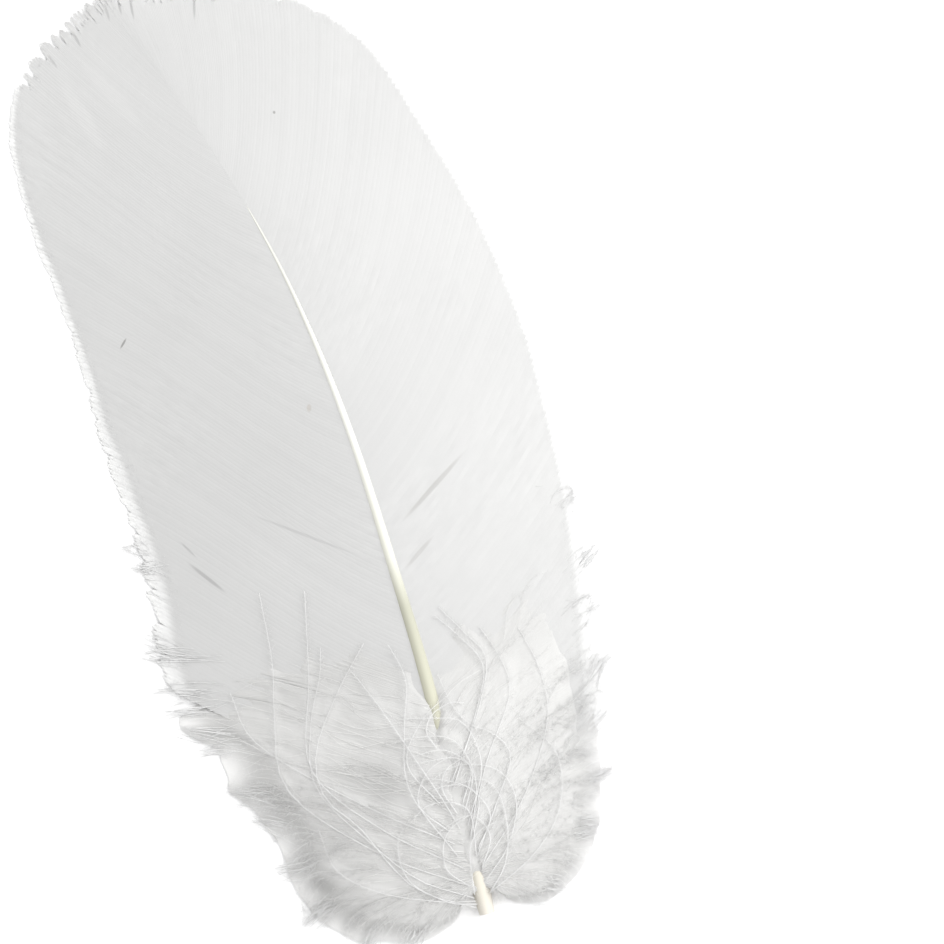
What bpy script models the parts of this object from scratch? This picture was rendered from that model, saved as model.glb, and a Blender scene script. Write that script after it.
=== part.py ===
"""Goose quill feather, lying with its back (the convex side) up.

The shaft runs along +Y from the quill end to the tip. Two thin vanes spread from it to the left (-X) and
to the right (+X), and two soft tufts of down spread round the quill end. The feather rests on z = 0.
"""

import bisect
import math

import bmesh
import bpy
from mathutils import Vector

MM = 0.001

# Plan of the shaft: (x, y) along its middle line, in mm, from the quill end to the tip of the vanes.
SHAFT_LINE = ((0, 0), (3.0, 34), (4.0, 53), (4.7, 76), (3.8, 96), (1.4, 113), (-3.4, 134), (-8.7, 151.4))
SHAFT_END = 0.93  # where the horn ends, as a share of the middle line's length

# Half the shaft's thickness, in mm, at shares of the middle line's length.
SHAFT_RADII = ((0.0, 1.2), (0.03, 1.5), (0.30, 1.05), (0.50, 0.72), (0.66, 0.52), (0.80, 0.28), (0.93, 0.12))

# Outer edges in plan, (x, y) in mm, each from the base to the tip.
VANE_LEFT_EDGE = ((-36.8, 53), (-34.2, 63), (-32, 78), (-31.6, 100), (-31.2, 122), (-29, 138), (-22, 146.5),
                  (-11, 151.6))
VANE_RIGHT_EDGE = ((33.5, 53), (34.8, 68), (35.4, 84), (34.2, 100), (30.6, 116), (24.5, 133.5), (13, 143.5),
                   (-6.4, 150.9))
DOWN_LEFT_EDGE = ((-3.5, -3.0), (-13, -2.8), (-22.5, 1.4), (-28.4, 9.5), (-29, 20), (-34, 33), (-36.6, 51.5))
DOWN_RIGHT_EDGE = ((3.5, -2.8), (10.5, -2.6), (18, 1.6), (23.5, 9.5), (26.5, 20), (30.5, 34), (33.3, 51.5))

VANE_START = 0.215  # where the closed vane begins on the shaft, as a share of the middle line's length
DOWN_SPAN = (0.02, 0.209)  # the stretch of the middle line that carries down

# Heights, in mm.
SHAFT_RISE = 5.8  # how far the arched shaft lifts off a straight line
QUILL_REST = 1.5  # height of the quill's middle where it lies on the surface
TIP_REST = 0.5  # height of the vanes' top at the tip
EDGE_HEIGHT = 0.55  # height of the vanes' top along their outer edges
VANE_THICKNESS = 0.45
DOWN_HEIGHT = 5.6  # top of the down beside the shaft
DOWN_EDGE_HEIGHT = 1.6

GAP = 0.3  # clearance between neighbouring pieces, in mm
CAMBER_POWER = {-1: 1.2, 1: 1.5}  # how each vane falls from the shaft: 1 is a straight roof, 2 a round vault

SHAFT_POINTS = 36
VANE_ROWS, VANE_COLUMNS = 30, 9
DOWN_ROWS, DOWN_COLUMNS = 14, 7


def smooth_line(points, steps=24):
    """A smooth line through the points, as many short straight runs (Catmull-Rom)."""
    ends = [Vector(p) for p in points]
    padded = [2 * ends[0] - ends[1], *ends, 2 * ends[-1] - ends[-2]]
    line = []
    for a, b, c, d in zip(padded, padded[1:], padded[2:], padded[3:]):
        for i in range(steps):
            t = i / steps
            line.append(0.5 * (2 * b + (c - a) * t + (2 * a - 5 * b + 4 * c - d) * t * t
                               + (3 * b - a - 3 * c + d) * t ** 3))
    line.append(ends[-1])
    return line


class Track:
    """A smooth line in plan that gives the place and direction at a share of its length."""

    def __init__(self, points):
        self.line = smooth_line(points)
        self.travel = [0.0]
        for a, b in zip(self.line, self.line[1:]):
            self.travel.append(self.travel[-1] + (b - a).length)

    def at(self, share):
        reach = min(max(share, 0.0), 1.0) * self.travel[-1]
        i = min(max(bisect.bisect_right(self.travel, reach) - 1, 0), len(self.line) - 2)
        a, b = self.line[i], self.line[i + 1]
        step = (b - a).length
        return a.lerp(b, (reach - self.travel[i]) / step), (b - a) / step


def between(pairs, share):
    """Straight interpolation in a list of (share, value) pairs."""
    for (s0, v0), (s1, v1) in zip(pairs, pairs[1:]):
        if share <= s1:
            return v0 + (v1 - v0) * (share - s0) / (s1 - s0)
    return pairs[-1][1]


MIDDLE = Track(SHAFT_LINE)


def shaft_height(share):
    """Height of the shaft's middle above the surface it lies on, in mm."""
    rest = QUILL_REST + (TIP_REST - QUILL_REST) * share
    return rest + SHAFT_RISE * math.sin(math.pi * min(share / 0.99, 1.0))


def beside_shaft(share, side):
    """A point just clear of the shaft's flank. side is -1 on the left and 1 on the right."""
    place, along = MIDDLE.at(share)
    across = Vector((along.y, -along.x)) * side
    return place + across * (between(SHAFT_RADII, share) + GAP)


def material(name, colour, roughness):
    made = bpy.data.materials.new(name)
    made.use_nodes = True
    shader = made.node_tree.nodes["Principled BSDF"]
    shader.inputs["Base Color"].default_value = (*colour, 1.0)
    shader.inputs["Roughness"].default_value = roughness
    shader.inputs["Metallic"].default_value = 0.0
    return made


def add_object(name, data, collection, finish, frame):
    made = bpy.data.objects.new(name, data)
    made.data.materials.append(finish)
    made.parent = frame
    collection.objects.link(made)
    return made


def make_shaft(collection, finish, frame):
    """The quill and the rachis: one tapering rod along the middle line, with closed ends."""
    curve = bpy.data.curves.new("shaft", "CURVE")
    curve.dimensions = "3D"
    curve.bevel_depth = MM
    curve.bevel_resolution = 2
    curve.use_fill_caps = True
    spline = curve.splines.new("POLY")
    spline.points.add(SHAFT_POINTS - 1)
    for i, point in enumerate(spline.points):
        share = SHAFT_END * i / (SHAFT_POINTS - 1)
        place, _ = MIDDLE.at(share)
        point.co = (place.x * MM, place.y * MM, shaft_height(share) * MM, 1.0)
        point.radius = between(SHAFT_RADII, share)
    return add_object("shaft", curve, collection, finish, frame)


def sheet_mesh(name, rows, columns, place):
    """A grid whose corner at (across, up), each from 0 to 1, is moved to place(across, up), in mm."""
    mesh = bpy.data.meshes.new(name)
    bm = bmesh.new()
    bmesh.ops.create_grid(bm, x_segments=columns, y_segments=rows, size=0.5)
    for vert in bm.verts:
        vert.co = place(vert.co.x + 0.5, vert.co.y + 0.5) * MM
    bm.to_mesh(mesh)
    bm.free()
    return mesh


def spread(across, side):
    """How far out from the shaft a grid line is, 0 to 1. The grid always runs from left to right."""
    return across if side > 0 else 1.0 - across


def make_vane(name, side, edge_points, collection, finish, frame):
    """A thin web from the shaft out to its edge, falling away from the shaft in a shallow vault."""
    edge = Track(edge_points)

    def place(across, up):
        out = spread(across, side)
        share = VANE_START + (1 - VANE_START) * up
        inner = beside_shaft(share, side)
        outer, _ = edge.at(up)
        top = shaft_height(share) + 0.35 * between(SHAFT_RADII, share)
        height = EDGE_HEIGHT + (top - EDGE_HEIGHT) * (1 - out ** CAMBER_POWER[side])
        flat = inner.lerp(outer, out)
        return Vector((flat.x, flat.y, height))

    vane = add_object(name, sheet_mesh(name, VANE_ROWS, VANE_COLUMNS, place), collection, finish, frame)
    thicken = vane.modifiers.new("thickness", "SOLIDIFY")
    thicken.thickness = VANE_THICKNESS * MM
    thicken.offset = -1.0
    return vane


def make_down(name, side, edge_points, collection, finish, frame):
    """A low soft mound, flat underneath where it lies on the surface."""
    edge = Track(edge_points)
    first, last = DOWN_SPAN

    def place(across, up):
        out = spread(across, side)
        inner = beside_shaft(first + (last - first) * up, side)
        outer, _ = edge.at(up)
        height = DOWN_EDGE_HEIGHT + (DOWN_HEIGHT - DOWN_EDGE_HEIGHT) * (1 - out ** 2)
        flat = inner.lerp(outer, out)
        return Vector((flat.x, flat.y, height))

    mesh = sheet_mesh(name, DOWN_ROWS, DOWN_COLUMNS, place)
    bm = bmesh.new()
    bm.from_mesh(mesh)
    copied = bmesh.ops.extrude_face_region(bm, geom=bm.faces[:])["geom"]
    for vert in (item for item in copied if isinstance(item, bmesh.types.BMVert)):
        vert.co.z = 0.0
    bmesh.ops.recalc_face_normals(bm, faces=bm.faces[:])
    bm.to_mesh(mesh)
    bm.free()
    return add_object(name, mesh, collection, finish, frame)


def centre_on_base(frame, pieces):
    """Moves the whole feather so that the middle of its underside is at the origin."""
    bpy.context.view_layer.update()
    graph = bpy.context.evaluated_depsgraph_get()
    low = Vector((math.inf, math.inf, math.inf))
    high = -low
    for piece in pieces:
        seen = piece.evaluated_get(graph)
        for vert in seen.to_mesh().vertices:
            place = seen.matrix_world @ vert.co
            low = Vector(map(min, low, place))
            high = Vector(map(max, high, place))
        seen.to_mesh_clear()
    frame.location = (-(low.x + high.x) / 2, -(low.y + high.y) / 2, -low.z)


def main():
    for old in list(bpy.data.objects):
        bpy.data.objects.remove(old, do_unlink=True)
    collection = bpy.data.collections.new("goose_quill_feather")
    bpy.context.scene.collection.children.link(collection)
    frame = bpy.data.objects.new("feather_frame", None)
    collection.objects.link(frame)

    horn = material("horn", (0.88, 0.84, 0.68), 0.4)
    web = material("web", (0.86, 0.86, 0.86), 0.7)
    fluff = material("fluff", (0.90, 0.90, 0.90), 0.9)
    pieces = [
        make_shaft(collection, horn, frame),
        make_vane("vane_left", -1, VANE_LEFT_EDGE, collection, web, frame),
        make_vane("vane_right", 1, VANE_RIGHT_EDGE, collection, web, frame),
        make_down("down_left", -1, DOWN_LEFT_EDGE, collection, fluff, frame),
        make_down("down_right", 1, DOWN_RIGHT_EDGE, collection, fluff, frame),
    ]
    centre_on_base(frame, pieces)


main()
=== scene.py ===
import math

import bmesh
import bpy
import numpy as np
from mathutils import Matrix, Vector


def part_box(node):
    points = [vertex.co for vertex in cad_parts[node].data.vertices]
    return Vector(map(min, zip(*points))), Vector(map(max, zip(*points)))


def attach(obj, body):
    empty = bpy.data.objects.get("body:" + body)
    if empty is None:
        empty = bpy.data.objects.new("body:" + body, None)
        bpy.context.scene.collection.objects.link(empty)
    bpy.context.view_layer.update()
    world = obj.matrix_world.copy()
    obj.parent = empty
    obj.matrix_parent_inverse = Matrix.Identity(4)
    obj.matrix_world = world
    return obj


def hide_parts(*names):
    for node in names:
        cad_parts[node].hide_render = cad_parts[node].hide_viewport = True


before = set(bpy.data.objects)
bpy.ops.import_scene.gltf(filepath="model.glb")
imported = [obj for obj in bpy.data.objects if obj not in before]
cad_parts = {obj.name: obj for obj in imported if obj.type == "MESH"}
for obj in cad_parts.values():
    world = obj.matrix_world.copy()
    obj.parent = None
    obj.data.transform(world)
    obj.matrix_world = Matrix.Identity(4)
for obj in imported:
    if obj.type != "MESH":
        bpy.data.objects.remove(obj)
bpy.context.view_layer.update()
mm = 0.001

# The feather's plan in mm: x to the right, y from the quill end to the tip. The shaft's half thickness
# goes by share of its length.
plan = {
    "shaft": ((0, 0), (3.0, 34), (4.0, 53), (4.7, 76), (3.8, 96), (1.4, 113), (-3.4, 134), (-8.7, 151.4)),
    "leftEdge": ((-28.6, 8), (-29, 20), (-33.5, 34), (-35.6, 50), (-33.6, 63), (-32.6, 73), (-32.6, 86),
                 (-31.4, 100), (-31.2, 112), (-31.6, 122), (-29.6, 138.4), (-22.4, 147.8), (-11, 153)),
    "rightEdge": ((23.5, 8), (26.5, 20), (30.5, 34), (33.5, 53), (34.8, 68), (35.4, 84), (34.4, 100),
                  (31.2, 116.4), (25.8, 134.4), (14.2, 145.4), (-6.4, 152.8)),
    "radius": ((0, 1.2), (0.03, 1.5), (0.3, 1.02), (0.5, 0.64), (0.63, 0.40), (0.74, 0.17), (0.80, 0.09),
               (0.93, 0.05)),
    "spare": 12.0,  # straight run added to the shaft's line at both ends
    "packedRadius": 0.7,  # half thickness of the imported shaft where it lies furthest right
    "packedSlant": 0.1,  # how far its slanting end reaches past the middle line
}

# Heights in mm: how far the shaft arches, how high it starts and ends, how high the vanes' edges lie,
# and how each side falls from the shaft (1 is a straight roof, 2 a round vault).
rise = {
    "arch": 5.8, "archEnd": 0.99, "quill": 1.5, "tip": 0.5, "edge": 0.13,
    "fall": {-1: 1.2, 1: 1.5},
    "onShaft": 0.45,  # the vanes join the shaft this share of its radius above its middle
    "waves": ((0.18, 5.3, 9.0), (0.108, 2.9, -4.1)),  # height, length along the shaft and length across it
    "past": 1.05,  # the waves die out at this share of a vane's width
}


def fromTable(pairs, at):
    return np.interp(at, *np.transpose(pairs))


def smoothLine(points, steps=30):
    # Catmull-Rom through the points
    p = np.array(points, float)
    p = np.vstack([2 * p[0] - p[1], p, 2 * p[-1] - p[-2]])
    t = np.linspace(0, 1, steps, endpoint=False)[:, None]
    runs = []
    for a, b, c, d in zip(p, p[1:], p[2:], p[3:]):
        bend = (2 * a - 5 * b + 4 * c - d) * t ** 2 + (3 * b - a - 3 * c + d) * t ** 3
        runs.append(0.5 * (2 * b + (c - a) * t + bend))
    return np.vstack([*runs, p[-2]])


def distances(line):
    steps = np.linalg.norm(np.diff(line, axis=0), axis=1)
    return np.concatenate([[0], np.cumsum(steps)])


def unit(v):
    return v / np.maximum(np.linalg.norm(v, axis=-1, keepdims=True), 1e-12)


def longShaft():
    line = smoothLine(plan["shaft"])
    first = unit(line[0] - line[1]) * plan["spare"]
    last = unit(line[-1] - line[-2]) * plan["spare"]
    line = np.vstack([line[0] + first, line, line[-1] + last])
    return line, distances(line) - plan["spare"]


shaftLine, shaftTravel = longShaft()
shaftAhead = unit(np.gradient(shaftLine, axis=0))
fullLength = shaftTravel[-1] - plan["spare"]


def onShaft(values, along):
    return np.interp(along, shaftTravel, values)


def planPoint(along, out):
    # the plan place of a point so far along the shaft and so far to its right
    ahead = unit(np.stack([onShaft(shaftAhead[:, 0], along), onShaft(shaftAhead[:, 1], along)], axis=-1))
    return (onShaft(shaftLine[:, 0], along) + out * ahead[..., 1],
            onShaft(shaftLine[:, 1], along) - out * ahead[..., 0])


def edgeTable(points):
    # how wide one side is at each distance along the shaft
    edge = smoothLine(points)
    fine = np.linspace(-8, fullLength + 6, 1600)
    x, y = planPoint(fine, 0 * fine)
    away = np.hypot(edge[:, :1] - x, edge[:, 1:] - y)
    nearest = away.argmin(axis=1)
    order = np.argsort(fine[nearest])
    return fine[nearest][order], away.min(axis=1)[order]


edges = {-1: edgeTable(plan["leftEdge"]), 1: edgeTable(plan["rightEdge"])}


def halfWidth(along, side):
    at, width = edges[side]
    return np.interp(along, at, width, right=0.0)


def shaftHeight(along):
    share = np.clip(along / fullLength, 0, 1)
    rest = rise["quill"] + (rise["tip"] - rise["quill"]) * share
    return rest + rise["arch"] * np.sin(math.pi * np.minimum(share / rise["archEnd"], 1))


def shaftRadius(along):
    return fromTable(plan["radius"], along / fullLength)


def webHeight(along, out):
    # the vault of the vanes: highest beside the shaft, down to the surface at the edges
    left = np.asarray(out) < 0
    wide = np.where(left, halfWidth(along, -1), halfWidth(along, 1))
    power = np.where(left, rise["fall"][-1], rise["fall"][1])
    share = np.clip(np.abs(out) / np.maximum(wide, 1.0), 0, rise["past"])
    top = shaftHeight(along) + rise["onShaft"] * shaftRadius(along)
    wave = sum(high * np.sin(along / long + out / broad) for high, long, broad in rise["waves"])
    fall = (top - rise["edge"]) * (1 - np.minimum(share, 1) ** power)
    return rise["edge"] + fall + wave * share * (rise["past"] - share)


# The down's soft mound: how high over the surface beside the shaft and at its edge, in mm, how round it is,
# and the stretch of the shaft over which it thins out on to the vane.
mound = {
    "over": ((-3, 0.2), (4, 0.4), (8, 1.75), (14, 2.1), (28, 2.1), (32, 1.6), (37, 0.5)),
    "least": 3.2, "edge": 0.2, "power": 2.0, "below": (-3.6, 6.0), "fade": (24, 43),
    "overWeb": 0.1,
    "puff": 0.16, "fine": 0.096,  # height of its broad and its fine unevenness
}


def smoothStep(low, high, value):
    t = np.clip((value - low) / (high - low), 0, 1)
    return t * t * (3 - 2 * t)


def moundHeight(x, y):
    # near the quill end the shaft is almost straight, so y stands for the distance along it
    out = x - onShaft(shaftLine[:, 0], y)
    wide = np.where(out < 0, halfWidth(y, -1), halfWidth(y, 1))
    share = np.clip(np.abs(out) / wide, 0, 1.0)
    over = fromTable(mound["over"], y)
    top = np.maximum(shaftHeight(y) + over, mound["least"]) * smoothStep(*mound["below"], y) ** 0.5
    height = mound["edge"] + np.maximum(top - mound["edge"], 0) * (1 - share ** mound["power"])
    puff = mound["puff"] * np.sin(x / 1.9 + y / 3.4) * np.sin(y / 2.6 - x / 4.1)
    puff = puff + mound["fine"] * np.sin(x / 1.1 - y / 1.7 + 2)
    height = height + puff * np.minimum(share * 4, 1) * (1.1 - share)
    web = webHeight(y, out)
    return web + (np.maximum(height, web + mound["overWeb"]) - web) * (1 - smoothStep(*mound["fade"], y))


# The plan's zero in the row frame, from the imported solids.
shaftLow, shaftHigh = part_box("shaft")
furthest = smoothLine(plan["shaft"])[:, 0].max() + plan["packedRadius"]
quillEnd = Vector((shaftHigh[0] - furthest * mm, shaftLow[1] + plan["packedSlant"] * mm, 0.0))
print("quill end at", tuple(round(c, 5) for c in quillEnd))


def toRow(points):
    # plan millimetres to row-frame metres
    return points * mm + np.array(quillEnd)


def prism(sides, rings, taper=1.0):
    # a closed unit prism along +X, cut into rings
    bm = bmesh.new()
    bmesh.ops.create_cone(bm, cap_ends=True, segments=sides, radius1=1.0, radius2=taper, depth=1.0)
    runs = [e for e in bm.edges if abs(e.verts[0].co.z - e.verts[1].co.z) > 0.5]
    if rings > 1:
        bmesh.ops.subdivide_edges(bm, edges=runs, cuts=rings - 1)
    bmesh.ops.rotate(bm, verts=bm.verts, matrix=Matrix.Rotation(math.pi / 2, 3, "Y"))
    bmesh.ops.translate(bm, verts=bm.verts, vec=(0.5, 0, 0))
    bmesh.ops.remove_doubles(bm, verts=bm.verts, dist=1e-6)
    return bm


def copies(name, template, count):
    # one object holding count copies of the template, one after another, and the template's points
    mesh = bpy.data.meshes.new(name)
    template.to_mesh(mesh)
    template.free()
    local = np.empty(len(mesh.vertices) * 3)
    mesh.vertices.foreach_get("co", local)
    piece = bpy.data.objects.new(name, mesh)
    bpy.context.scene.collection.objects.link(piece)
    row = piece.modifiers.new("row", "ARRAY")
    row.count = count
    row.use_relative_offset = False
    row.use_constant_offset = True
    row.constant_offset_displace = (0, 0, 0)
    graph = bpy.context.evaluated_depsgraph_get()
    whole = bpy.data.meshes.new_from_object(piece.evaluated_get(graph), depsgraph=graph)
    piece.modifiers.clear()
    piece.data = whole
    bpy.data.meshes.remove(mesh)
    whole.name = name
    return piece, local.reshape(-1, 3)


def putPoints(piece, points, place, loose=None, lowest=0.04, sharp=180):
    # barbPlace: distance along the barb in mm, place across it, and a number of its own from 0 to 1;
    # barbLoose: 0 where it is hooked to its neighbours, 1 where it is thin, painted pale for light shining
    # through
    mesh = piece.data
    points = np.concatenate([points[..., :2], np.maximum(points[..., 2:], lowest)], axis=-1)
    mesh.vertices.foreach_set("co", toRow(points).astype(np.float32).ravel())
    held = mesh.attributes.new("barbPlace", "FLOAT_VECTOR", "POINT")
    held.data.foreach_set("vector", place.astype(np.float32).ravel())
    if loose is not None:
        held = mesh.attributes.new("barbLoose", "FLOAT", "POINT")
        held.data.foreach_set("value", loose.astype(np.float32).ravel())
    mesh.update()
    mesh.shade_smooth()
    if sharp < 180:
        mesh.set_sharp_from_angle(angle=math.radians(sharp))


def sweep(name, paths, half, thick, tones, sides, travel, roll=0.0, loose=None, sharp=180):
    # one tapering strip or hair along each path; half and thick are its half sizes at each ring, in mm
    count, rings = len(paths), paths.shape[1] - 1
    ahead = unit(np.gradient(paths, axis=1))
    level = unit(np.stack([-ahead[..., 1], ahead[..., 0], np.zeros(ahead.shape[:2])], axis=-1))
    across = unit(level + np.array([0, 0, 1.0]) * np.asarray(roll)[..., None])
    up = unit(np.cross(ahead, across))
    across = np.cross(up, ahead)
    piece, local = copies(name, prism(sides, rings), count)
    ring = np.rint(local[:, 0] * rings).astype(int)
    side, top = local[:, 1], np.sign(local[:, 2]) * np.abs(local[:, 2]) ** 1.6
    points = paths[:, ring] + across[:, ring] * (half[:, ring] * side)[..., None]
    points = points + up[:, ring] * (thick[:, ring] * top)[..., None]
    tone = np.repeat(tones[:, None], len(local), axis=1)
    place = np.stack([travel[:, ring], np.tile(side, (count, 1)), tone], axis=-1)
    if loose is not None:
        loose = loose[:, ring]
    putPoints(piece, points, place, loose, sharp=sharp)
    return piece


# The two vanes: barbs hooked edge to edge. On each side, tables by distance along the shaft in mm give the
# barbs' angles at the root and the margin, in degrees from the shaft's line, how far the loose tips reach
# beyond the closed web ("free"), how uneven they are ("ragged"), how deep the gaps between clumps are
# ("notch"), and how much of the clumps' lean they take.
vanes = {
    "seed": 7,
    "step": ((12, 0.72), (112, 0.72), (120, 0.50), (132, 0.27), (141, 0.20)),  # between barbs on the shaft
    "stepSpread": (0.92, 1.08),
    "span": (12.0, 141.4),
    "start": 0.1,  # how far off the shaft's line a barb starts
    "buried": 0.42,  # and at least how far inside the shaft's flank
    "past": 2.2,  # how far the last barbs reach past the shaft's line
    "pathStep": 0.4,
    "pathLength": 112.0,
    "rings": 40,
    "finer": 0.78,  # beyond this share of a barb its rings lie closer
    "sides": 6,
    "clump": (4, 10),
    "uneven": (0.4, 0.7),  # how much barbs, and whole clumps, differ in length
    "closing": 0.12,  # how much the closed web's edge wanders
    "leastFree": 0.6,
    "gather": (0.25, 0.1, 0.05),  # how far a clump's tips lean together: mean, spread, and each tip's own
    "lift": (0.04, 0.0015),  # how unevenly high loose tips and whole barbs lie
    "twist": 0.004,
    "hairs": {"every": 9, "rings": 61, "size": (0.25, 0.8), "width": 0.45},  # on loose tips: hairs per mm
    "overlap": 1.28,
    "thickness": 0.012,
    "thickSpread": (0.7, 1.3),
    "looseThickness": 0.03,
    "hold": 0.75,  # share of the loose stretch that still lies edge to edge
    "taper": 0.93,  # share of its width that a barb loses beyond it
    "halfWidth": (0.018, 0.8),  # the least and the most
    -1: {
        "root": ((15, 54), (60, 52), (90, 47), (110, 40), (125, 30), (134, 15), (141, 0)),
        "margin": ((15, 44), (30, 40), (45, 33), (70, 25), (95, 15), (115, 7), (130, 2), (141, 0)),
        "settle": 18.0,
        "free": ((35, 4.0), (60, 4.2), (68, 3.6), (76, 3.0), (86, 3.2), (92, 2.2), (100, 1.9), (112, 1.3),
                 (125, 1.3), (140, 0.9), (147, 1.4), (153, 1.4)),
        "ragged": ((35, 1.6), (60, 1.0), (80, 1.0), (100, 0.5), (120, 0.2), (140, 0.1), (151, 0.1),
                   (153, 0.5)),
        "notch": ((35, 1.0), (60, 0.5), (85, 0.4), (110, 0.15), (150.8, 0.1), (152, 1.5), (154, 2.2)),
        "lean": ((35, 1.0), (141, 1.0), (144, 0.1), (150.8, 0.1), (152, 1.0)),
    },
    1: {
        "root": ((15, 66), (50, 62), (80, 56), (100, 50), (115, 44), (128, 34), (136, 16), (141, 0)),
        "margin": ((15, 52), (50, 46), (80, 40), (100, 34), (120, 27), (130, 20), (136, 9), (141, 0)),
        "settle": 16.0,
        "free": ((35, 4.0), (60, 2.0), (80, 0.8), (120, 0.6), (140, 0.8), (147, 1.4), (153, 1.4)),
        "ragged": ((35, 1.2), (60, 0.5), (85, 0.25), (120, 0.2), (136, 0.3), (147, 0.5), (153, 0.5)),
        "notch": ((35, 0.8), (60, 0.3), (85, 0.1), (120, 0.1), (132, 0.5), (140, 1.2), (153, 2.2)),
        "lean": ((35, 1.0), (153, 1.0)),
    },
}

# Where the web has come unzipped: side, the split's inner and outer end as (along, out), and its width, in
# mm, then how many barbs give way on either side of one, and how fast that fades from barb to barb.
splits = (
    (-1, (67.3, 23.4), (71.0, 27.0), 0.12),
    (-1, (59.5, 21.5), (66.5, 27.0), 0.16),
    (-1, (59.0, 4.5), (70.0, 17.8), 0.14),
    (1, (59.6, 3.0), (67.5, 16.5), 0.16),
    (1, (54.4, 2.4), (57.6, 8.6), 0.12),
)
givingWay = {"barbs": 7, "fade": 2.6}


def barbField(side, rng):
    # every barb of one side as (along, out) in mm at even steps, and the room between it and its neighbours
    look = vanes[side]
    roots = [vanes["span"][0]]
    while roots[-1] < vanes["span"][1]:
        step = fromTable(vanes["step"], roots[-1])
        roots.append(roots[-1] + step * rng.uniform(*vanes["stepSpread"]))
    roots = np.array(roots)
    atRoot = fromTable(look["root"], roots)
    atMargin = fromTable(look["margin"], roots)
    step = vanes["pathStep"]
    travel = np.arange(0, vanes["pathLength"], step)
    turn = np.radians(atMargin[:, None] + (atRoot - atMargin)[:, None] * np.exp(-travel / look["settle"]))
    ahead, outward = np.cos(turn), np.sin(turn)
    start = np.minimum(vanes["start"], shaftRadius(roots) - vanes["buried"])
    along = roots[:, None] + np.cumsum(ahead, axis=1) * step
    out = start[:, None] + np.cumsum(outward, axis=1) * step
    room = np.abs(np.gradient(along, axis=0) * outward - np.gradient(out, axis=0) * ahead)
    return roots, travel, along, out, room


def clumps(rng, count, least, most):
    # runs of neighbours that cling together: each barb's clump and its place in it from -1 to 1
    clump, place = [], []
    while len(clump) < count:
        size = int(rng.integers(least, most + 1))
        clump += [clump[-1] + 1 if clump else 0] * size
        place += list(np.linspace(-1, 1, size))
    return np.array(clump[:count]), np.array(place[:count])


def openSplits(side, along, out):
    for which, inner, outer, gap in splits:
        if which != side:
            continue
        middle = ((inner[0] + outer[0]) / 2, (inner[1] + outer[1]) / 2)
        first = int(np.hypot(along - middle[0], out - middle[1]).min(axis=1).argmin())
        share = np.clip((out - inner[1]) / (outer[1] - inner[1]), 0, 1)
        bulge = np.sin(np.pi * share) ** 0.8
        reach = givingWay["barbs"]
        for i in range(max(first - reach, 0), min(first + reach + 1, len(along))):
            away = i - first - 0.5
            along[i] += np.sign(away) * gap * 0.5 * math.exp(-abs(away) / givingWay["fade"]) * bulge[i]


def firstTrue(flags):
    return np.where(flags.any(axis=1), flags.argmax(axis=1), flags.shape[1] - 1)


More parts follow.
